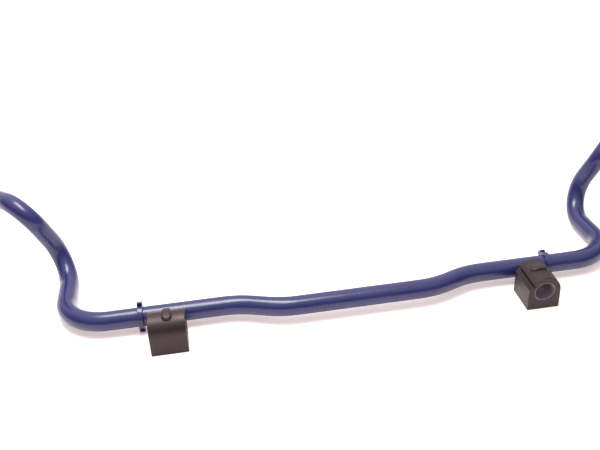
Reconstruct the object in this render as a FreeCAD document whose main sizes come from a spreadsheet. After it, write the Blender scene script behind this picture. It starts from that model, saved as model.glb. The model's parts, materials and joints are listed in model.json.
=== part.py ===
"""Front anti-roll (sway) bar set: one bent round bar with forged link eyes, a two-piece clamp
ring at each bushing seat, and two loose slit rubber bushings that stand beside the bar.

Millimetres. The bar's straight outer runs lie on the x axis; x is across the car, y points to
the arm side and z is up. Every piece is built there and then moved as one set, so that the
origin ends at the centre of the set's footprint, on the surface that it stands on.
"""
import FreeCAD, Part
import math
import os
import Sketcher

V = FreeCAD.Vector
X_AXIS = V(1, 0, 0)
Y_AXIS = V(0, 1, 0)
Z_AXIS = V(0, 0, 1)

DRIVING = [
    ("bar_diameter", 25.0, "round spring-steel bar"),
    ("middle_y", -22.7, "middle run, forward of the outer runs"),
    ("middle_z", 2.7, "middle run, above the outer runs"),
    ("middle_left_x", -91.0, "middle run's left corner"),
    ("middle_right_x", 109.0, "middle run's right corner"),
    ("seat_left_x", -145.0, "left outer run's inner corner"),
    ("seat_right_x", 158.0, "right outer run's inner corner"),
    ("middle_bend", 99.0, "centreline radius of the four middle bends"),
    ("corner_x", 366.7, "corner where an outer run turns into its arm"),
    ("corner_bend", 57.0, "centreline radius of that corner"),
    ("rise_x", 368.1, "corner where the arm turns up"),
    ("rise_y", 159.1, "the same corner"),
    ("rise_z", -10.3, "the same corner"),
    ("rise_bend", 44.5, "centreline radius where the arm turns up"),
    ("crest_x", 411.4, "corner where the arm turns out to the link"),
    ("crest_y", 120.7, "the same corner"),
    ("crest_z", 113.1, "the same corner"),
    ("crest_bend", 34.0, "centreline radius where the arm turns out"),
    ("link_x", 487.4, "centre of the link eye"),
    ("link_y", 244.2, "the same centre"),
    ("link_z", 74.0, "the same centre"),
    ("eye_width", 34.0, "forged eye, across the arm"),
    ("eye_thick", 11.0, "forged eye, between its flat faces"),
    ("eye_hole", 12.2, "hole for an M12 link stud"),
    ("eye_neck", 22.0, "flat blade between the forged taper and the eye's centre"),
    ("eye_taper", 45.0, "forged taper from round bar to flat blade"),
    ("eye_edge", 2.5, "edge rounding of the blade"),
    ("taper_spread", 20.0, "half angle of the round end's arcs that meet the blade's rounded edges"),
    ("ring_x", 269.0, "clamp ring, to either side of the middle"),
    ("ring_wide", 7.0, "clamp ring, along the bar"),
    ("ring_bore", 12.55, "inside radius, over the coated bar"),
    ("ring_outer", 16.0, "outside radius"),
    ("ear_reach", 19.3, "from the bar's axis to the end of a clamp ear"),
    ("ear_depth", 4.6, "from the split to the back of an ear"),
    ("ear_round", 1.2, "corner rounding of an ear"),
    ("ring_split", 0.8, "gap between the two halves"),
    ("ring_edge", 0.8, "edge rounding of the band's outside"),
    ("left_lean", 25.0, "degrees that the left ring's upper ears lean back from upright"),
    ("right_lean", 55.0, "the same for the right ring, which is clamped further round"),
    ("screw_reach", 16.2, "from the bar's axis to a screw's axis"),
    ("screw_thread", 3.0, "M3 socket-head screw"),
    ("screw_head", 5.5, "head diameter"),
    ("screw_head_high", 3.0, "head height"),
    ("screw_key", 2.5, "hexagon socket, across flats"),
    ("screw_key_deep", 1.4, "depth of the socket"),
    ("screw_long", 5.4, "shank length under the head"),
    ("head_room", 0.15, "radial room round a head in its spot face"),
    ("shank_room", 0.2, "radial room round a shank in a front ear"),
    ("thread_room", 0.02, "radial room round a shank in a rear ear, in place of the thread"),
    ("ear_wall", 1.6, "ear left between the split and the spot face"),
    ("bush_wide", 42.0, "bushing, across its flat base"),
    ("bush_long", 46.0, "bushing, along its bore"),
    ("bush_axis_z", 25.5, "bore's axis above the base"),
    ("bush_bore", 13.7, "radius of the rubber's bore, which the liner fills"),
    ("liner_bore", 12.5, "inside radius of the liner"),
    ("liner_back", 0.8, "liner's end below the rubber's end face"),
    ("slit_angle", 147.0, "slit's direction from the bore, from level"),
    ("slit_gap", 0.8, "width of the slit"),
    ("lip_angle", 142.5, "upper lip of the slit's mouth, from level"),
    ("mouth_radius", 17.3, "where the slit opens into its mouth, from the bore's axis"),
    ("sill_radius", 19.1, "lower lip of the mouth, from the bore's axis"),
    ("sill_angle", 150.5, "lower lip of the mouth, from level"),
    ("flank_angle", 168.0, "where the side wall ends below the lower lip"),
    ("bush_edge", 0.9, "edge rounding round both end faces"),
    ("rib_wide", 11.0, "locating rib on the crown, along the bore"),
    ("rib_half_angle", 30.0, "rib's half extent round the crown"),
    ("rib_high", 3.0, "rib above the crown"),
    ("rib_back", 1.0, "rib's middle, behind the bushing's middle"),
    ("rib_end", 4.6, "rounding of the rib's ends, seen from above"),
    ("rib_round", 2.3, "rounding of the rib's upper edge"),
    ("rib_foot", 1.2, "hollow rounding where the rib meets the crown"),
    ("lip_round", 0.7, "rounding of both lips of the slit's mouth"),
    ("bush_left_x", -235.6, "left bushing's centre"),
    ("bush_left_y", -37.4, "the same centre"),
    ("bush_right_x", 238.5, "right bushing's centre"),
    ("bush_right_y", -45.1, "the same centre"),
]


def size_sheet(doc):
    """Put the driving sizes in a spreadsheet, one alias to a row."""
    sheet = doc.addObject("Spreadsheet::Sheet", "Sizes")
    for row, (alias, value, note) in enumerate(DRIVING, start=1):
        sheet.set("A%d" % row, alias)
        sheet.set("B%d" % row, str(value))
        sheet.set("C%d" % row, note)
        sheet.setAlias("B%d" % row, alias)
    doc.recompute()
    return sheet


def bind(thing, **sizes):
    """Bind properties of an object to expressions in the sheet's sizes."""
    for name, text in sizes.items():
        thing.setExpression(name, text)


def origin_plane(body, role):
    """One of a body's own origin planes."""
    return next(plane for plane in body.Origin.OriginFeatures if plane.Role == role)


def new_sketch(body, name, role, offset=None):
    """A sketch on a body's origin plane, moved along the plane's normal by an expression."""
    sketch = body.newObject("Sketcher::SketchObject", name)
    sketch.AttachmentSupport = [(origin_plane(body, role), "")]
    sketch.MapMode = "FlatFace"
    if offset:
        bind(sketch, **{".AttachmentOffset.Base.z": offset})
    return sketch


def value_of(sketch, text):
    """Number that an expression in the sheet's sizes gives now."""
    return float(sketch.evalExpression(text))


def hold(sketch, kind, edge, end, text):
    """Hold one end (or the centre, 3) of a sketch edge at a DistanceX or DistanceY from the
    sketch's origin."""
    number = sketch.addConstraint(Sketcher.Constraint(kind, -1, 1, edge, end, value_of(sketch, text)))
    sketch.setExpression("Constraints[%d]" % number, text)


def draw_outline(sketch, corners):
    """Draw a closed outline. Each corner is (x, y, arc): arc is None for a straight side to the
    next corner, or (centre x, centre y, turn), turn +1 anticlockwise and -1 clockwise. Both ends
    of an arc are held, and its centre in the direction that is still free."""
    places = [V(value_of(sketch, x), value_of(sketch, y), 0) for x, y, _ in corners]
    ends = []
    for index, (_, _, arc) in enumerate(corners):
        here = places[index]
        there = places[(index + 1) % len(places)]
        if arc is None:
            edge = sketch.addGeometry(Part.LineSegment(here, there), False)
            ends.append((edge, 1, 2))
            continue
        centre = V(value_of(sketch, arc[0]), value_of(sketch, arc[1]), 0)
        circle = Part.Circle(centre, Z_AXIS, (here - centre).Length)
        first, last = (here, there) if arc[2] > 0 else (there, here)
        start_angle = math.atan2(first.y - centre.y, first.x - centre.x)
        end_angle = math.atan2(last.y - centre.y, last.x - centre.x)
        if end_angle <= start_angle:
            end_angle += 2 * math.pi
        edge = sketch.addGeometry(Part.ArcOfCircle(circle, start_angle, end_angle), False)
        ends.append((edge, 1, 2) if arc[2] > 0 else (edge, 2, 1))
    for index, (x, y, arc) in enumerate(corners):
        edge, start, end = ends[index]
        following = ends[(index + 1) % len(ends)]
        sketch.addConstraint(Sketcher.Constraint("Coincident", edge, end, following[0], following[1]))
        hold(sketch, "DistanceX", edge, start, x)
        hold(sketch, "DistanceY", edge, start, y)
        if arc is not None:
            chord = places[(index + 1) % len(places)] - places[index]
            if abs(chord.x) > abs(chord.y):
                hold(sketch, "DistanceY", edge, 3, arc[1])
            else:
                hold(sketch, "DistanceX", edge, 3, arc[0])


def draw_circle(sketch, x, y, radius):
    """Draw a whole circle from three expressions."""
    size = value_of(sketch, radius)
    centre = V(value_of(sketch, x), value_of(sketch, y), 0)
    edge = sketch.addGeometry(Part.Circle(centre, Z_AXIS, size), False)
    hold(sketch, "DistanceX", edge, 3, x)
    hold(sketch, "DistanceY", edge, 3, y)
    number = sketch.addConstraint(Sketcher.Constraint("Radius", edge, size))
    sketch.setExpression("Constraints[%d]" % number, radius)


def pad_both_ways(body, sketch, name, length):
    """Pad a sketch equally to both sides."""
    pad = body.newObject("PartDesign::Pad", name)
    pad.Profile = sketch
    pad.SideType = "Symmetric"
    bind(pad, Length=length)
    sketch.Document.recompute()
    return pad


def cut_through(body, sketch, name, length, backwards):
    """Pocket a sketch to one side, and make sure that it takes something away."""
    before = body.Shape.Volume
    pocket = body.newObject("PartDesign::Pocket", name)
    pocket.Profile = sketch
    pocket.Reversed = backwards
    bind(pocket, Length=length)
    sketch.Document.recompute()
    if not body.Shape.Volume < before - 1e-3:
        raise RuntimeError(name + " cuts nothing")
    return pocket


def round_edges(body, name, radius, wanted):
    """Fillet the edges of a body's tip that the test picks out."""
    tip = body.Tip
    names = ["Edge%d" % number for number, edge in enumerate(tip.Shape.Edges, start=1) if wanted(edge)]
    if not names:
        raise RuntimeError(name + " finds no edge")
    fillet = body.newObject("PartDesign::Fillet", name)
    fillet.Base = (tip, names)
    bind(fillet, Radius=radius)
    body.Document.recompute()
    return fillet


def bar_corners(sizes):
    """Corner points of the bar's centreline from the left taper to the right one, with the
    radius of the bend at each inner corner."""
    crest = V(sizes.crest_x, sizes.crest_y, sizes.crest_z)
    link = V(sizes.link_x, sizes.link_y, sizes.link_z)
    forged = sizes.eye_neck + sizes.eye_taper
    taper = link - (link - crest).normalize() * forged
    arm = [
        (V(sizes.corner_x, 0, 0), sizes.corner_bend),
        (V(sizes.rise_x, sizes.rise_y, sizes.rise_z), sizes.rise_bend),
        (crest, sizes.crest_bend),
        (taper, None),
    ]
    middle = [
        (V(sizes.seat_left_x, 0, 0), sizes.middle_bend),
        (V(sizes.middle_left_x, sizes.middle_y, sizes.middle_z), sizes.middle_bend),
        (V(sizes.middle_right_x, sizes.middle_y, sizes.middle_z), sizes.middle_bend),
        (V(sizes.seat_right_x, 0, 0), sizes.middle_bend),
    ]
    left_arm = [(V(-point.x, point.y, point.z), bend) for point, bend in reversed(arm)]
    return left_arm + middle + arm


def bent_wire(corners):
    """Straight runs joined by tangent arcs."""
    edges = []
    last = corners[0][0]
    for index in range(1, len(corners) - 1):
        point, bend = corners[index]
        back = (corners[index - 1][0] - point).normalize()
        ahead = (corners[index + 1][0] - point).normalize()
        turn = math.pi - back.getAngle(ahead)
        reach = bend * math.tan(turn / 2)
        start = point + back * reach
        end = point + ahead * reach
        inward = (back + ahead).normalize()
        halfway = point + inward * (bend / math.cos(turn / 2) - bend)
        edges.append(Part.LineSegment(last, start).toShape())
        edges.append(Part.Arc(start, halfway, end).toShape())
        last = end
    edges.append(Part.LineSegment(last, corners[-1][0]).toShape())
    return Part.Wire(edges)


def eye_placement(sizes):
    """Frame of the right forged end: origin where the taper starts, z along the arm and x
    along the level hole."""
    crest = V(sizes.crest_x, sizes.crest_y, sizes.crest_z)
    link = V(sizes.link_x, sizes.link_y, sizes.link_z)
    along = (link - crest).normalize()
    hole = along.cross(Z_AXIS).normalize()
    start = link - along * (sizes.eye_neck + sizes.eye_taper)
    return FreeCAD.Placement(start, FreeCAD.Rotation(hole, along.cross(hole), along, "ZXY"))


def eight_sided(half_x, half_y, corner, height):
    """A closed wire of four sides and four corner arcs, at a height."""
    points = []
    for quarter in range(4):
        start_angle = quarter * math.pi / 2
        sign_x = 1 if quarter in (0, 3) else -1
        sign_y = 1 if quarter in (0, 1) else -1
        centre = V(sign_x * (half_x - corner), sign_y * (half_y - corner), height)
        points.append([centre + V(math.cos(start_angle + step), math.sin(start_angle + step), 0) * corner
                       for step in (0, math.pi / 4, math.pi / 2)])
    edges = []
    for quarter in range(4):
        edges.append(Part.Arc(*points[quarter]).toShape())
        edges.append(Part.LineSegment(points[quarter][2], points[(quarter + 1) % 4][0]).toShape())
    return Part.Wire(edges)


def eight_arc_circle(radius, spread, height):
    """A circle at a height, cut into eight arcs: four corner arcs, each of twice the spread
    angle, with four side arcs between them."""
    cuts = []
    for quarter in range(4):
        middle = math.pi / 4 + quarter * math.pi / 2
        cuts += [middle - spread, middle + spread]
    cuts.append(cuts[0] + 2 * math.pi)
    edges = []
    for start_angle, end_angle in zip(cuts, cuts[1:]):
        three = [V(radius * math.cos(angle), radius * math.sin(angle), height)
                 for angle in (start_angle, (start_angle + end_angle) / 2, end_angle)]
        edges.append(Part.Arc(*three).toShape())
    return Part.Wire(edges)


def forged_eye(doc, sizes):
    """Right forged end in its own frame: a taper from round bar to a flat blade, then the blade
    with a full round end and the stud hole."""
    round_end = doc.addObject("Part::Feature", "taper_round_end")
    round_end.Shape = eight_arc_circle(
        sizes.bar_diameter / 2, math.radians(sizes.taper_spread), 0)
    flat_end = doc.addObject("Part::Feature", "taper_flat_end")
    flat_end.Shape = eight_sided(sizes.eye_thick / 2, sizes.eye_width / 2, sizes.eye_edge, sizes.eye_taper)
    taper = doc.addObject("Part::Loft", "eye_taper_solid")
    taper.Sections = [round_end, flat_end]
    taper.Solid = True

    body = doc.addObject("PartDesign::Body", "eye_blade")
    outline = new_sketch(body, "blade_outline", "YZ_Plane")
    end_z = "Sizes.eye_taper + Sizes.eye_neck"
    draw_outline(outline, [
        ("-Sizes.eye_width / 2", "Sizes.eye_taper", None),
        ("Sizes.eye_width / 2", "Sizes.eye_taper", None),
        ("Sizes.eye_width / 2", end_z, ("0", end_z, 1)),
        ("-Sizes.eye_width / 2", end_z, None),
    ])
    pad_both_ways(body, outline, "blade", "Sizes.eye_thick")
    half = sizes.eye_thick / 2
    round_edges(body, "blade_edges", "Sizes.eye_edge", lambda edge: on_face(edge, 0, half)
                and not lies_at(edge, 2, sizes.eye_taper))

    hole = doc.addObject("Part::Cylinder", "stud_hole")
    bind(hole, Radius="Sizes.eye_hole / 2", Height="Sizes.eye_thick * 2")
    hole.Placement = FreeCAD.Placement(V(-sizes.eye_thick, 0, sizes.eye_taper + sizes.eye_neck),
                                       FreeCAD.Rotation(Z_AXIS, X_AXIS))
    joined = doc.addObject("Part::Fuse", "eye_forging")
    joined.Base = taper
    joined.Tool = body
    eye = doc.addObject("Part::Cut", "right_eye")
    eye.Base = joined
    eye.Tool = hole
    eye.Placement = eye_placement(sizes)
    doc.recompute()
    return eye


def on_face(edge, axis, reach):
    """True when a whole edge lies on either plane at +-reach along an axis (0, 1 or 2)."""
    values = [point[axis] for point in edge.discretize(5)]
    return max(abs(abs(value) - reach) for value in values) < 1e-4 and min(values) * max(values) > 0


def lies_at(edge, axis, place):
    """True when a whole edge lies in the plane at a place along an axis."""
    return max(abs(point[axis] - place) for point in edge.discretize(5)) < 1e-4


def round_bar(edge, radius):
    """True when a whole edge of a clamp ring lies at a radius from the bar's axis."""
    return max(abs(math.hypot(point.y, point.z) - radius) for point in edge.discretize(5)) < 1e-4


def bore_radii(edge, sizes):
    """Distances of a bushing edge's points from the bore's axis."""
    return [math.hypot(point.x, point.z - sizes.bush_axis_z) for point in edge.discretize(5)]


def round_bore(edge, sizes, radius):
    """True when a whole edge of a bushing lies at a radius from the bore's axis."""
    return max(abs(value - radius) for value in bore_radii(edge, sizes)) < 1e-4


def mouth_lip(sizes, radius, angle):
    """Place of a lip of the slit's mouth, in the plane across the bore."""
    turn = math.radians(angle)
    return V(radius * math.cos(turn), 0, sizes.bush_axis_z + radius * math.sin(turn))


def by_rib(edge, sizes):
    """True when both ends of a bushing's edge are between the rib's two sides."""
    reach = sizes.rib_wide / 2 + 1e-3
    return max(abs(corner.Y - sizes.rib_back) for corner in edge.Vertexes) < reach


def stands_up(edge, sizes):
    """True when an edge of the rib runs straight out from the crown."""
    radii = bore_radii(edge, sizes)
    return abs(max(radii) - min(radii) - sizes.rib_high) < 1e-3


def sway_bar(doc, sizes):
    """The bar: a round section swept along the bent centreline, joined to both forged ends."""
    corners = bar_corners(sizes)
    route = doc.addObject("Part::Feature", "bar_centreline")
    route.Shape = bent_wire(corners)
    start = corners[0][0]
    heading = (corners[1][0] - start).normalize()
    section = doc.addObject("Part::Circle", "bar_section")
    bind(section, Radius="Sizes.bar_diameter / 2")
    section.Placement = FreeCAD.Placement(start, FreeCAD.Rotation(Z_AXIS, heading))
    tube = doc.addObject("Part::Sweep", "bent_bar")
    tube.Sections = [section]
    tube.Spine = (route, ["Edge%d" % number for number in range(1, len(route.Shape.Edges) + 1)])
    tube.Solid = True
    tube.Frenet = False
    right_eye = forged_eye(doc, sizes)
    left_eye = doc.addObject("Part::Mirroring", "left_eye")
    left_eye.Source = right_eye
    left_eye.Normal = X_AXIS
    bar = doc.addObject("Part::MultiFuse", "sway_bar")
    bar.Shapes = [tube, right_eye, left_eye]
    doc.recompute()
    expected = math.pi * (sizes.bar_diameter / 2) ** 2 * route.Shape.Length
    print("bar sweep volume over section x length: %.5f" % (tube.Shape.Volume / expected))
    return [bar]


def ring_half(doc, name, front):
    """One half of a clamp ring, on the -y side of its split: a half band with an ear at each
    end. The front half has a spot face and clearance hole for each screw, the rear half has
    the threaded holes."""
    body = doc.addObject("PartDesign::Body", name)
    band = new_sketch(body, name + "_band", "YZ_Plane")
    split = "-Sizes.ring_split / 2"
    back = "-Sizes.ear_depth"
    inner = "sqrt(Sizes.ring_bore ^ 2 - Sizes.ring_split ^ 2 / 4)"
    outer = "sqrt(Sizes.ring_outer ^ 2 - Sizes.ear_depth ^ 2)"
    draw_outline(band, [
        (split, "Sizes.ear_reach", None),
        (back, "Sizes.ear_reach", None),
        (back, outer, ("0", "0", 1)),
        (back, "-" + outer, None),
        (back, "-Sizes.ear_reach", None),
        (split, "-Sizes.ear_reach", None),
        (split, "-" + inner, ("0", "0", -1)),
        (split, inner, None),
    ])
    pad_both_ways(body, band, name + "_pad", "Sizes.ring_wide")
    round_edges(body, name + "_ear_corners", "Sizes.ear_round", lambda edge: lies_at(
        edge, 1, -doc.Sizes.ear_depth) and on_face(edge, 2, doc.Sizes.ear_reach))

    round_edges(body, name + "_band_edges", "Sizes.ring_edge", lambda edge: on_face(
        edge, 0, doc.Sizes.ring_wide / 2) and round_bar(edge, doc.Sizes.ring_outer))

    holes = new_sketch(body, name + "_holes", "XZ_Plane")
    bore = "Sizes.screw_thread / 2 + " + ("Sizes.shank_room" if front else "Sizes.thread_room")
    for side in ("Sizes.screw_reach", "-Sizes.screw_reach"):
        draw_circle(holes, "0", side, bore)
    cut_through(body, holes, name + "_hole_pair", "Sizes.ring_outer", True)
    if front:
        faces = new_sketch(body, name + "_faces", "XZ_Plane", "Sizes.ring_split / 2 + Sizes.ear_wall")
        for side in ("Sizes.screw_reach", "-Sizes.screw_reach"):
            draw_circle(faces, "0", side, "Sizes.screw_head / 2 + Sizes.head_room")
        cut_through(body, faces, name + "_spot_faces", "Sizes.ring_outer", True)
    return body


def ring_screw(doc, name, sizes):
    """Socket-head screw along z: its head stands on z = 0 and the shank hangs below."""
    head = doc.addObject("Part::Cylinder", name + "_head")
    bind(head, Radius="Sizes.screw_head / 2", Height="Sizes.screw_head_high")
    shank = doc.addObject("Part::Cylinder", name + "_shank")
    bind(shank, Radius="Sizes.screw_thread / 2", Height="Sizes.screw_long")
    shank.Placement.Base = V(0, 0, -sizes.screw_long)
    blank = doc.addObject("Part::Fuse", name + "_blank")
    blank.Base = head
    blank.Tool = shank
    socket = doc.addObject("Part::Prism", name + "_socket")
    socket.Polygon = 6
    bind(socket, Circumradius="Sizes.screw_key / sqrt(3)", Height="Sizes.screw_key_deep * 2")
    socket.Placement.Base = V(0, 0, sizes.screw_head_high - sizes.screw_key_deep)
    screw = doc.addObject("Part::Cut", name)
    screw.Base = blank
    screw.Tool = socket
    return screw


def clamp_ring(doc, side, sizes):
    """Both halves and both screws of one clamp ring, round the bar's outer run."""
    place = -sizes.ring_x if side == "left" else sizes.ring_x
    lean = sizes.left_lean if side == "left" else sizes.right_lean
    here = FreeCAD.Placement(V(place, 0, 0), FreeCAD.Rotation(X_AXIS, -lean))
    half_turn = FreeCAD.Placement(V(), FreeCAD.Rotation(Z_AXIS, 180))
    pieces = []
    for name, front in (("front", True), ("rear", False)):
        half = ring_half(doc, "%s_ring_%s_half" % (side, name), front)
        half.Placement = here if front else here * half_turn
        pieces.append(half)
    seat = -(sizes.ring_split / 2 + sizes.ear_wall)
    for name, height in (("upper", sizes.screw_reach), ("lower", -sizes.screw_reach)):
        screw = ring_screw(doc, "%s_ring_%s_screw" % (side, name), sizes)
        facing = FreeCAD.Rotation(Z_AXIS, V(0, -1, 0))
        screw.Placement = here * FreeCAD.Placement(V(0, seat, height), facing)
        pieces.append(screw)
    doc.recompute()
    return pieces


def polar(radius, angle):
    """Expressions for the place at a radius and an angle (degrees from level) round the bore."""
    return ("(%s) * cos((%s) * 1 deg)" % (radius, angle),
            "Sizes.bush_axis_z + (%s) * sin((%s) * 1 deg)" % (radius, angle))


def slit_point(radius, side):
    """Expressions for a point on the slit's upper (-1) or lower (+1) face, at a radius from the
    bore's axis."""
    swing = "Sizes.slit_angle + %d * asin(Sizes.slit_gap / 2 / (%s)) / 1 deg" % (side, radius)
    return polar(radius, swing)


def bushing(doc, name, sizes):
    """D-shaped rubber block: flat base, upright side walls, round crown, bore for the bar. A slit
    runs from the bore to a mouth whose lower lip lies in from the crown. A rounded rib on the
    crown locates the block in its bracket."""
    body = doc.addObject("PartDesign::Body", name)
    section = new_sketch(body, name + "_section", "XZ_Plane")
    half = "Sizes.bush_wide / 2"
    axis = ("0", "Sizes.bush_axis_z")
    flank_top = "Sizes.bush_axis_z + Sizes.bush_wide / 2 * tan((180 - Sizes.flank_angle) * 1 deg)"
    draw_outline(section, [
        ("-" + half, "0", None),
        (half, "0", None),
        (half, "Sizes.bush_axis_z", (*axis, 1)),
        (*polar(half, "Sizes.lip_angle"), None),
        (*slit_point("Sizes.mouth_radius", -1), None),
        (*slit_point("Sizes.bush_bore", -1), (*axis, -1)),
        (*slit_point("Sizes.bush_bore", 1), None),
        (*slit_point("Sizes.mouth_radius", 1), None),
        (*polar("Sizes.sill_radius", "Sizes.sill_angle"), None),
        ("-" + half, flank_top, None),
    ])
    pad_both_ways(body, section, name + "_block", "Sizes.bush_long")
    wall = sizes.bush_wide / 2
    end = sizes.bush_long / 2
    lips = (mouth_lip(sizes, wall, sizes.lip_angle), mouth_lip(sizes, sizes.sill_radius, sizes.sill_angle))
    round_edges(body, name + "_lips", "Sizes.lip_round", lambda edge: any(
        lies_at(edge, 0, lip.x) and lies_at(edge, 2, lip.z) for lip in lips))
    round_edges(body, name + "_end_edges", "Sizes.bush_edge", lambda edge: on_face(edge, 1, end)
                and (round_bore(edge, sizes, wall) or on_face(edge, 0, wall)))

    rib = new_sketch(body, name + "_rib_section", "XZ_Plane", "-Sizes.rib_back")
    inside = half + " - 1"
    outside = half + " + Sizes.rib_high"
    left = "90 + Sizes.rib_half_angle"
    right = "90 - Sizes.rib_half_angle"
    draw_outline(rib, [
        (*polar(inside, right), None),
        (*polar(outside, right), (*axis, 1)),
        (*polar(outside, left), None),
        (*polar(inside, left), (*axis, -1)),
    ])
    pad_both_ways(body, rib, name + "_rib", "Sizes.rib_wide")
    round_edges(body, name + "_rib_ends", "Sizes.rib_end", lambda edge: by_rib(edge, sizes)
                and stands_up(edge, sizes))
    round_edges(body, name + "_rib_edges", "Sizes.rib_round", lambda edge: by_rib(edge, sizes)
                and round_bore(edge, sizes, wall + sizes.rib_high))
    round_edges(body, name + "_rib_feet", "Sizes.rib_foot", lambda edge: by_rib(edge, sizes)
                and round_bore(edge, sizes, wall))
    return body


def bushing_liner(doc, name):
    """Thin low-friction sleeve in the rubber's bore, slit in line with it."""
    body = doc.addObject("PartDesign::Body", name)
    section = new_sketch(body, name + "_section", "XZ_Plane")
    axis = ("0", "Sizes.bush_axis_z")
    draw_outline(section, [
        (*slit_point("Sizes.bush_bore", 1), (*axis, 1)),
        (*slit_point("Sizes.bush_bore", -1), None),
        (*slit_point("Sizes.liner_bore", -1), (*axis, -1)),
        (*slit_point("Sizes.liner_bore", 1), None),
    ])
    pad_both_ways(body, section, name + "_sleeve", "Sizes.bush_long - 2 * Sizes.liner_back")
    return body


def loose_bushing(doc, side, sizes):
    """Bushing and liner as they stand beside the bar. The left one is turned so that its bore
    lies along the bar and its slit faces the bar; the right one's bore points forward."""
    if side == "left":
        centre = V(sizes.bush_left_x, sizes.bush_left_y, 0)
        turn = -90
    else:
        centre = V(sizes.bush_right_x, sizes.bush_right_y, 0)
        turn = 0
    floor = -resting_depth(sizes)
    here = FreeCAD.Placement(centre + V(0, 0, floor), FreeCAD.Rotation(Z_AXIS, turn))
    rubber = bushing(doc, side + "_bushing", sizes)
    liner = bushing_liner(doc, side + "_bushing_liner")
    for piece in (rubber, liner):
        piece.Placement = here
    doc.recompute()
    return [rubber, liner]


def resting_depth(sizes):
    """How far the bar's axis stands above the surface: the set rests on the rounded corner of
    the left ring's lower rear ear."""
    lean = math.radians(sizes.left_lean)
    down = (sizes.ear_reach - sizes.ear_round) * math.cos(lean)
    across = (sizes.ear_depth - sizes.ear_round) * math.sin(lean)
    return down + across + sizes.ear_round


def set_down(pieces, sizes):
    """Move the whole set so that the origin is the centre of its footprint, on the surface."""
    whole = Part.makeCompound([piece.Shape for piece in pieces]).optimalBoundingBox(False, False)
    shift = V(-(whole.XMin + whole.XMax) / 2, -(whole.YMin + whole.YMax) / 2, resting_depth(sizes))
    for piece in pieces:
        piece.Placement = FreeCAD.Placement(shift, FreeCAD.Rotation()) * piece.Placement
    print("shift", [round(value, 4) for value in shift])


def check_and_write(doc, pieces):
    """Refuse a failed object or a bad shape, then write one STEP file to a piece."""
    for thing in doc.Objects:
        if "Invalid" in thing.State or "Error" in thing.State:
            raise RuntimeError("%s failed: %s" % (thing.Name, thing.State))
    os.makedirs("parts", exist_ok=True)
    for piece in pieces:
        shape = piece.Shape
        if shape.isNull() or not shape.isValid() or len(shape.Solids) != 1:
            raise RuntimeError(piece.Label + " has a bad shape")
        box = shape.BoundBox
        print("%-24s %10.1f mm3  x %.1f..%.1f  y %.1f..%.1f  z %.2f..%.2f" % (
            piece.Label, shape.Volume, box.XMin, box.XMax, box.YMin, box.YMax, box.ZMin, box.ZMax))
        shape.exportStep("parts/%s.step" % piece.Label)


document = FreeCAD.newDocument("sway_bar_set")
SIZES = size_sheet(document)
PIECES = sway_bar(document, SIZES)
for hand in ("left", "right"):
    PIECES += clamp_ring(document, hand, SIZES)
    PIECES += loose_bushing(document, hand, SIZES)
set_down(PIECES, SIZES)
document.recompute()
check_and_write(document, PIECES)
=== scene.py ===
"""Looks of the sway bar set: a blue powder-coated bar with a clamp ring at each seat, and two loose
rubber bushings that stand in front of it."""
import json
import math

import bpy
from mathutils import Matrix, Vector


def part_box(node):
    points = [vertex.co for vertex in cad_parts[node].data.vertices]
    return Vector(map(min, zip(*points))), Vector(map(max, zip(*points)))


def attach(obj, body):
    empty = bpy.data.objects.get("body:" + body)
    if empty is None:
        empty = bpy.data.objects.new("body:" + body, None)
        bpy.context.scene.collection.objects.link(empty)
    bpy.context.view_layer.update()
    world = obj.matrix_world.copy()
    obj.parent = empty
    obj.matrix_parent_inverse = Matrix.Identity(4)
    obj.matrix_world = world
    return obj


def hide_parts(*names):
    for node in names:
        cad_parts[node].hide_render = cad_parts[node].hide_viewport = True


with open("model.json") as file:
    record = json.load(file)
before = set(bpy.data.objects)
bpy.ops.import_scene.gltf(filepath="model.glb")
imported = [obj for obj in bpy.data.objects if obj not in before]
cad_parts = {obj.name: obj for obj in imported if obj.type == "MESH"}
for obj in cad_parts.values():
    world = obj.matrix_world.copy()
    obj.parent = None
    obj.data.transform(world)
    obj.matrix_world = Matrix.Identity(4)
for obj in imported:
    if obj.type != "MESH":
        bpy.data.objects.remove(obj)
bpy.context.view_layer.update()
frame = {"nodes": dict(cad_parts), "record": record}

bpy.ops.object.select_all(action="DESELECT")


# ---- Camera. It looks down on the set from the front, a little left of its middle, as a
# person does who stands at a packing table. The 48 mm lens is a normal one.
CAMERA_PLACE = Vector((-0.1728, -0.9297, 0.6342))
CAMERA_TURN = math.radians(7.69)
CAMERA_DIP = math.radians(31.15)
CAMERA_ROLL = math.radians(-2.89)
bpy.ops.object.camera_add()
camera = bpy.context.object
camera.name = "camera"
camera.data.lens = 48
camera.data.sensor_width = 36
camera.matrix_world = (
    Matrix.Translation(CAMERA_PLACE)
    @ Matrix.Rotation(-CAMERA_TURN, 4, "Z")
    @ Matrix.Rotation(math.radians(90) - CAMERA_DIP, 4, "X")
    @ Matrix.Rotation(CAMERA_ROLL, 4, "Z")
)
bpy.context.scene.camera = camera


# ---- Table: a sheet of opal white acrylic, lit from below so that shadows on it stay pale. It
# is not part of the set.
def linear(hex_text):
    """sRGB hex colour to linear RGBA."""
    parts = [int(hex_text[i:i + 2], 16) / 255 for i in (1, 3, 5)]
    return [c / 12.92 if c <= 0.04045 else ((c + 0.055) / 1.055) ** 2.4 for c in parts] + [1]


def new_material(name):
    """An empty node material."""
    material = bpy.data.materials.new(name)
    material.use_nodes = True
    material.node_tree.nodes.clear()
    return material


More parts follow.
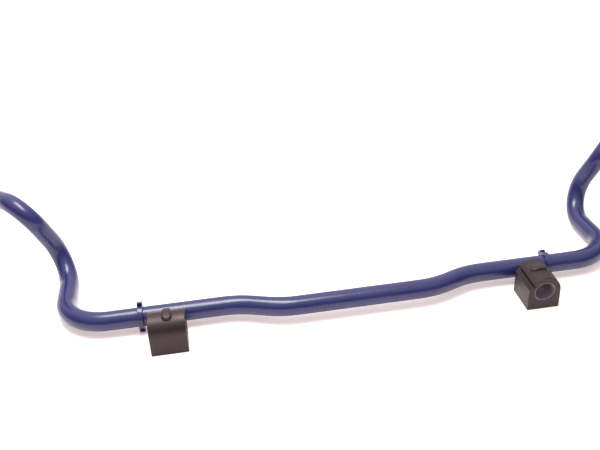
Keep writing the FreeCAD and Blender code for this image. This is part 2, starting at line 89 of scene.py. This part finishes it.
def node(material, kind, settings=None, **sockets):
    """Add a node. Settings are properties of the node. Sockets are values or links, each named
    with underscores for blanks, or _ and its number."""
    made = material.node_tree.nodes.new(kind)
    for key, value in (settings or {}).items():
        setattr(made, key, value)
    for key, value in sockets.items():
        socket = made.inputs[int(key[1:])] if key[1:].isdigit() else made.inputs[key.replace("_", " ")]
        if isinstance(value, bpy.types.NodeSocket):
            material.node_tree.links.new(value, socket)
        else:
            socket.default_value = value
    return made


TABLE_SIZE = 14.0
TABLE_GLOW = 0.34
bpy.ops.mesh.primitive_plane_add(size=TABLE_SIZE)
table = bpy.context.object
table.name = "table_top"
acrylic = new_material("opal_acrylic_sheet")
cloud = node(acrylic, "ShaderNodeTexNoise", Scale=2.0)
white = node(acrylic, "ShaderNodeMix", {"data_type": "RGBA"}, _0=cloud.outputs["Fac"],
             _6=linear("#f6f1f1"), _7=linear("#faf6f6"))
sheet = node(acrylic, "ShaderNodeBsdfPrincipled", Base_Color=white.outputs[2], Roughness=0.6,
             Emission_Color=linear("#ffe8e0"), Emission_Strength=TABLE_GLOW)
node(acrylic, "ShaderNodeOutputMaterial", Surface=sheet.outputs[0])
table.data.materials.append(acrylic)


# ---- Studio: one big soft box overhead, slightly askew, and a white
# paper sweep that is bright behind and above the table and dim on the viewer's side.
bpy.context.scene.view_settings.view_transform = "Standard"
world = bpy.data.worlds.new("studio_air")
world.use_nodes = True
world.node_tree.nodes.clear()
air = node(world, "ShaderNodeTexCoord")
heading = node(world, "ShaderNodeSeparateXYZ", Vector=air.outputs["Generated"])
ceiling = node(world, "ShaderNodeMapRange", {"interpolation_type": "SMOOTHSTEP"},
               Value=heading.outputs["Z"], From_Min=0.2, From_Max=1.0, To_Min=0.14, To_Max=1.35)
sweep = node(world, "ShaderNodeMapRange", {"interpolation_type": "SMOOTHSTEP"},
             Value=heading.outputs["Y"], From_Min=0.0, From_Max=0.95, To_Min=0.0, To_Max=0.85)
level = node(world, "ShaderNodeMath", {"operation": "ADD"}, _0=ceiling.outputs[0], _1=sweep.outputs[0])
glow = node(world, "ShaderNodeBackground", Color=linear("#fffbfa"), Strength=level.outputs[0])
node(world, "ShaderNodeOutputWorld", Surface=glow.outputs[0])
bpy.context.scene.world = world


BOX_PLACE = (-0.28, -0.05, 1.3)
BOX_TURN = math.radians(-52)
BOX_WIDTH = 0.85
BOX_DEPTH = 0.46
BOX_WATTS = 18
bpy.ops.object.light_add(type="AREA", location=BOX_PLACE, rotation=(0, 0, BOX_TURN))
box = bpy.context.object
box.name = "overhead_box"
box.data.shape = "RECTANGLE"
box.data.size = BOX_WIDTH
box.data.size_y = BOX_DEPTH
box.data.energy = BOX_WATTS


# ---- Bar: one round spring-steel rod, bent hot, its ends forged flat and holed. It is shot
# blasted and powder coated dark blue after forming, so the coat runs over it all. The mesh is
# the CAD one with its loose triangles joined, so that light runs smoothly along the rod.
COAT_PEEL_MM = 1.8
COAT_GRAIN_MM = 0.4
COAT_HAZE_MM = 45.0


def powder_coat(name):
    """Polyester powder melted to a plastic skin. It gives the eye a deep even blue under a satin
    gloss, with a faint orange peel, a fine grain and a slightly hazy tone in places. The peel and
    the grain are drawn as coarse as they need to be to show."""
    coat = new_material(name)
    place = node(coat, "ShaderNodeTexCoord").outputs["Object"]
    peel = node(coat, "ShaderNodeTexNoise", Vector=place, Scale=1000 / COAT_PEEL_MM, Detail=1.0)
    grain = node(coat, "ShaderNodeTexNoise", Vector=place, Scale=1000 / COAT_GRAIN_MM, Detail=2.0)
    haze = node(coat, "ShaderNodeTexNoise", Vector=place, Scale=1000 / COAT_HAZE_MM, Detail=4.0)
    tone = node(coat, "ShaderNodeMix", {"data_type": "RGBA"}, _0=haze.outputs["Fac"],
                _6=linear("#1e2051"), _7=linear("#27285e"))
    gloss = node(coat, "ShaderNodeMapRange", Value=haze.outputs["Fac"], From_Min=0.3, From_Max=0.7,
                 To_Min=0.22, To_Max=0.29)
    skin = node(coat, "ShaderNodeBump", Height=peel.outputs["Fac"], Strength=0.10, Distance=0.0004)
    fine = node(coat, "ShaderNodeBump", Height=grain.outputs["Fac"], Normal=skin.outputs[0],
                Strength=0.10, Distance=0.0001)
    paint = node(coat, "ShaderNodeBsdfPrincipled", Base_Color=tone.outputs[2], IOR=1.52,
                 Roughness=gloss.outputs[0], Normal=fine.outputs[0])
    node(coat, "ShaderNodeOutputMaterial", Surface=paint.outputs[0])
    return coat


def dress(name, material):
    """Give a carried-over piece its finish."""
    slots = frame["nodes"][name].data.materials
    slots.clear()
    slots.append(material)


def only(thing):
    """Select one object and make it the active one."""
    bpy.ops.object.select_all(action="DESELECT")
    thing.select_set(True)
    bpy.context.view_layer.objects.active = thing


WELD_GAP = 0.000002
SHARP_ANGLE = math.radians(40)
blue_coat = powder_coat("blue_powder_coat")
bar = bpy.data.objects.new("coated_bar", frame["nodes"]["sway_bar"].data.copy())
bpy.context.collection.objects.link(bar)
only(bar)
bpy.ops.object.mode_set(mode="EDIT")
bpy.ops.mesh.select_all(action="SELECT")
bpy.ops.mesh.remove_doubles(threshold=WELD_GAP)
bpy.ops.object.mode_set(mode="OBJECT")
bpy.ops.object.shade_smooth_by_angle(angle=SHARP_ANGLE)
bar.data.materials.clear()
bar.data.materials.append(blue_coat)
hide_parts("sway_bar")
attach(bar, "bar")


# ---- Clamp rings: two pressed steel halves pinch the bar beside each bushing seat and stop the
# bushing from creeping outwards. They are powder coated with the bar, in the same blue.
for hand in ("left", "right"):
    for piece in ("front_half", "rear_half"):
        dress("%s_ring_%s" % (hand, piece), blue_coat)


# ---- Ring screws: M3 socket-head cap screws, cold headed, with a rounded rim. The powder coat
# covers their heads; the inside of each socket is painted near black, as painted shade of the deep hole.
MM = 0.001
HEAD_RADIUS = 2.75 * MM
HEAD_HIGH = 3.0 * MM
HEAD_RIM = 0.45 * MM
SHANK_RADIUS = 1.5 * MM
SHANK_LONG = 5.4 * MM
SHANK_TIP = 0.4 * MM
TIP_TAPER = 0.8
KEY_RADIUS = 2.5 / math.sqrt(3) * MM
KEY_DEEP = 1.4 * MM
SCREW_REACH = 16.2 * MM
HEAD_SEAT = 2.0 * MM
RING_LEAN = {"left": 25, "right": 55}


def painted_socket_shade(name):
    """Painted shade for the inside of a screw socket, where the deep hole falls dark. It gives the eye a
    near-black, oily satin.
    """
    socket_shade_paint = new_material(name)
    place = node(socket_shade_paint, "ShaderNodeTexCoord").outputs["Object"]
    film = node(socket_shade_paint, "ShaderNodeTexNoise", Vector=place, Scale=1500.0, Detail=3.0)
    tone = node(socket_shade_paint, "ShaderNodeMix", {"data_type": "RGBA"}, _0=film.outputs["Fac"],
                _6=linear("#0b0b0f"), _7=linear("#17171d"))
    gloss = node(socket_shade_paint, "ShaderNodeMapRange", Value=film.outputs["Fac"], To_Min=0.35, To_Max=0.55)
    face = node(socket_shade_paint, "ShaderNodeBsdfPrincipled", Base_Color=tone.outputs[2], Metallic=0.6,
                Roughness=gloss.outputs[0])
    node(socket_shade_paint, "ShaderNodeOutputMaterial", Surface=face.outputs[0])
    return socket_shade_paint


def pick(thing, mode, wanted):
    """In edit mode, select just the faces (or edges) whose middle passes a test."""
    bpy.ops.object.mode_set(mode="EDIT")
    bpy.ops.mesh.select_all(action="DESELECT")
    bpy.ops.mesh.select_mode(type=mode)
    bpy.ops.object.mode_set(mode="OBJECT")
    corners = thing.data.vertices
    for part in (thing.data.polygons if mode == "FACE" else thing.data.edges):
        points = [corners[number].co for number in part.vertices]
        part.select = wanted(sum(points, Vector()) / len(points))
    bpy.ops.object.mode_set(mode="EDIT")


def add_rod(radius, top, bottom, sides):
    """An upright cylinder between two heights."""
    bpy.ops.mesh.primitive_cylinder_add(vertices=sides, radius=radius, depth=top - bottom,
                                        location=(0, 0, (top + bottom) / 2))
    rod = bpy.context.object
    bpy.ops.object.transform_apply(location=True, rotation=False, scale=False)
    return rod


def cap_screw(name, coat, socket_shade_paint):
    """One screw that stands on z = 0: head with a rounded rim and a hexagon socket, and below it
    the shank with a chamfered tip."""
    bpy.ops.object.select_all(action="DESELECT")
    screw = add_rod(HEAD_RADIUS, HEAD_HIGH, 0, 48)
    screw.name = name
    screw.data.materials.append(coat)
    screw.data.materials.append(socket_shade_paint)
    pick(screw, "EDGE", lambda middle: middle.z > HEAD_HIGH - MM / 100)
    bpy.ops.mesh.bevel(offset=HEAD_RIM, segments=4, affect="EDGES")
    pick(screw, "FACE", lambda middle: middle.z < MM / 100)
    bpy.ops.mesh.inset(thickness=HEAD_RADIUS - SHANK_RADIUS)
    bpy.ops.mesh.extrude_region_move(TRANSFORM_OT_translate={"value": (0, 0, SHANK_TIP - SHANK_LONG)})
    bpy.ops.mesh.extrude_region_move(TRANSFORM_OT_translate={"value": (0, 0, -SHANK_TIP)})
    bpy.ops.transform.resize(value=(TIP_TAPER, TIP_TAPER, 1))
    bpy.ops.object.mode_set(mode="OBJECT")

    socket = add_rod(KEY_RADIUS, HEAD_HIGH + MM, HEAD_HIGH - KEY_DEEP, 6)
    only(screw)
    cut = screw.modifiers.new("socket", "BOOLEAN")
    cut.operation = "DIFFERENCE"
    cut.solver = "EXACT"
    cut.object = socket
    bpy.ops.object.modifier_apply(modifier="socket")
    bpy.data.objects.remove(socket)
    # The inside of the socket gets the near-black second material: painted shade of the deep hole.
    pick(screw, "FACE", lambda middle: middle.xy.length < KEY_RADIUS
         and HEAD_HIGH - KEY_DEEP - MM / 10 < middle.z < HEAD_HIGH - MM / 10)
    screw.active_material_index = 1
    bpy.ops.object.material_slot_assign()
    bpy.ops.mesh.select_all(action="SELECT")
    bpy.ops.mesh.normals_make_consistent(inside=False)
    bpy.ops.object.mode_set(mode="OBJECT")
    bpy.ops.object.shade_smooth_by_angle(angle=math.radians(30))
    return screw


def seat_of(hand):
    """Centre of a clamp ring on the bar's axis: across the car from the ring's own box, and the
    rest from the bar seat beside it."""
    low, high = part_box(hand + "_ring_front_half")
    seat = next(mount for mount in frame["record"]["mounts"] if mount["name"] == hand + "_bar_seat")
    return Vector(((low[0] + high[0]) / 2, seat["pos_m"][1], seat["pos_m"][2]))


# Near-black material painted into the screw sockets as shade.
socket_shade_material = painted_socket_shade("painted_socket_shade_material")
pattern_screw = cap_screw("cap_screw", blue_coat, socket_shade_material)
facing = Matrix.Rotation(math.radians(90), 4, "X")
for hand in ("left", "right"):
    lean = Matrix.Rotation(-math.radians(RING_LEAN[hand]), 4, "X")
    for name, side in (("upper", 1), ("lower", -1)):
        screw = pattern_screw.copy()
        screw.data = pattern_screw.data.copy()
        screw.name = "%s_%s_cap_screw" % (hand, name)
        bpy.context.collection.objects.link(screw)
        seat = Matrix.Translation((0, -HEAD_SEAT, side * SCREW_REACH))
        screw.data.transform(Matrix.Translation(seat_of(hand)) @ lean @ seat @ facing)
        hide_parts("%s_ring_%s_screw" % (hand, name))
        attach(screw, "bar")
bpy.data.objects.remove(pattern_screw)


# ---- Bushings: blocks of natural rubber, moulded under heat with a rib on the crown, then slit
# with a blade from the bore to the mouth so that they open round the bar.
RUBBER_GRAIN_MM = 0.6
RUBBER_BLOOM_MM = 14.0
RUBBER_DRAG_MM = 1.4
RUBBER_DRAW = (1.0, 1.0, 0.06)


def moulded_rubber(name):
    """Carbon-black rubber as it leaves the mould. It gives the eye a warm dark grey with a broad
    satin sheen, a cloudy wax bloom and faint drag lines down the mould's draw. The gloss
    is tinted, as the wax on it is brownish. The grain is drawn as coarse as it needs to show."""
    rubber = new_material(name)
    place = node(rubber, "ShaderNodeTexCoord").outputs["Object"]
    bloom = node(rubber, "ShaderNodeTexNoise", Vector=place, Scale=1000 / RUBBER_BLOOM_MM, Detail=5.0)
    grain = node(rubber, "ShaderNodeTexNoise", Vector=place, Scale=1000 / RUBBER_GRAIN_MM, Detail=3.0)
    drawn = node(rubber, "ShaderNodeMapping", Vector=place, Scale=RUBBER_DRAW)
    drag = node(rubber, "ShaderNodeTexNoise", Vector=drawn.outputs[0], Scale=1000 / RUBBER_DRAG_MM,
                Detail=2.0)
    cloudy = node(rubber, "ShaderNodeMix", {"data_type": "RGBA"}, _0=bloom.outputs["Fac"],
                  _6=linear("#161012"), _7=linear("#1e1719"))
    streaks = node(rubber, "ShaderNodeMapRange", Value=drag.outputs["Fac"], From_Min=0.35, From_Max=0.65,
                   To_Min=0.0, To_Max=0.5)
    tone = node(rubber, "ShaderNodeMix", {"data_type": "RGBA"}, _0=streaks.outputs[0],
                _6=cloudy.outputs[2], _7=linear("#271e22"))
    gloss = node(rubber, "ShaderNodeMapRange", Value=bloom.outputs["Fac"], From_Min=0.3, From_Max=0.7,
                 To_Min=0.38, To_Max=0.48)
    lines = node(rubber, "ShaderNodeBump", Height=drag.outputs["Fac"], Strength=0.10, Distance=0.0003)
    rough = node(rubber, "ShaderNodeBump", Height=grain.outputs["Fac"], Normal=lines.outputs[0],
                 Strength=0.22, Distance=0.0002)
    skin = node(rubber, "ShaderNodeBsdfPrincipled", Base_Color=tone.outputs[2], IOR=1.52,
                Roughness=gloss.outputs[0], Specular_Tint=linear("#efd3d6"), Normal=rough.outputs[0])
    node(rubber, "ShaderNodeOutputMaterial", Surface=skin.outputs[0])
    return rubber


rubber = moulded_rubber("moulded_rubber")
for hand in ("left", "right"):
    dress(hand + "_bushing", rubber)


# ---- Liners: a knitted low-friction sleeve, bonded into the bore while the rubber is moulded,
# so that the bar turns in it without a squeak.
KNIT_MM = 0.9


def knitted_sleeve(name, mount):
    """Fluoropolymer and polyester yarn, knitted as a tube. It gives the eye a mauve-grey cloth
    with fine crossing ribs and a soft sheen. The ribs run round and along the bore."""
    knit = new_material(name)
    place = node(knit, "ShaderNodeTexCoord").outputs["Object"]
    inward = node(knit, "ShaderNodeVectorMath", {"operation": "SUBTRACT"}, _0=place, _1=mount["pos_m"])
    split = node(knit, "ShaderNodeSeparateXYZ", Vector=inward.outputs[0])
    across, along = ("Y", "X") if abs(mount["axis"][0]) > 0.5 else ("X", "Y")
    angle = node(knit, "ShaderNodeMath", {"operation": "ARCTAN2"},
                 _0=split.outputs["Z"], _1=split.outputs[across])
    arc = node(knit, "ShaderNodeMath", {"operation": "MULTIPLY"}, _0=angle.outputs[0],
               _1=mount["dims"]["r_mm"] * MM)
    cloth = node(knit, "ShaderNodeCombineXYZ", X=arc.outputs[0], Y=split.outputs[along])
    ribs = math.tau / 20 / (KNIT_MM * MM)
    wale = node(knit, "ShaderNodeTexWave", {"bands_direction": "X"}, Vector=cloth.outputs[0], Scale=ribs)
    course = node(knit, "ShaderNodeTexWave", {"bands_direction": "Y"}, Vector=cloth.outputs[0],
                  Scale=ribs)
    weave = node(knit, "ShaderNodeMath", {"operation": "MULTIPLY"}, _0=wale.outputs["Fac"],
                 _1=course.outputs["Fac"])
    tone = node(knit, "ShaderNodeMix", {"data_type": "RGBA"}, _0=weave.outputs[0],
                _6=linear("#6b5a66"), _7=linear("#9a8794"))
    bump = node(knit, "ShaderNodeBump", Height=weave.outputs[0], Strength=0.4, Distance=0.0002)
    skin = node(knit, "ShaderNodeBsdfPrincipled", Base_Color=tone.outputs[2], Roughness=0.34,
                Sheen_Weight=0.3, Sheen_Roughness=0.4, Normal=bump.outputs[0])
    node(knit, "ShaderNodeOutputMaterial", Surface=skin.outputs[0])
    return knit


for hand in ("left", "right"):
    bore = next(mount for mount in frame["record"]["mounts"] if mount["name"] == hand + "_bushing_bore")
    dress(hand + "_bushing_liner", knitted_sleeve(hand + "_knitted_sleeve", bore))
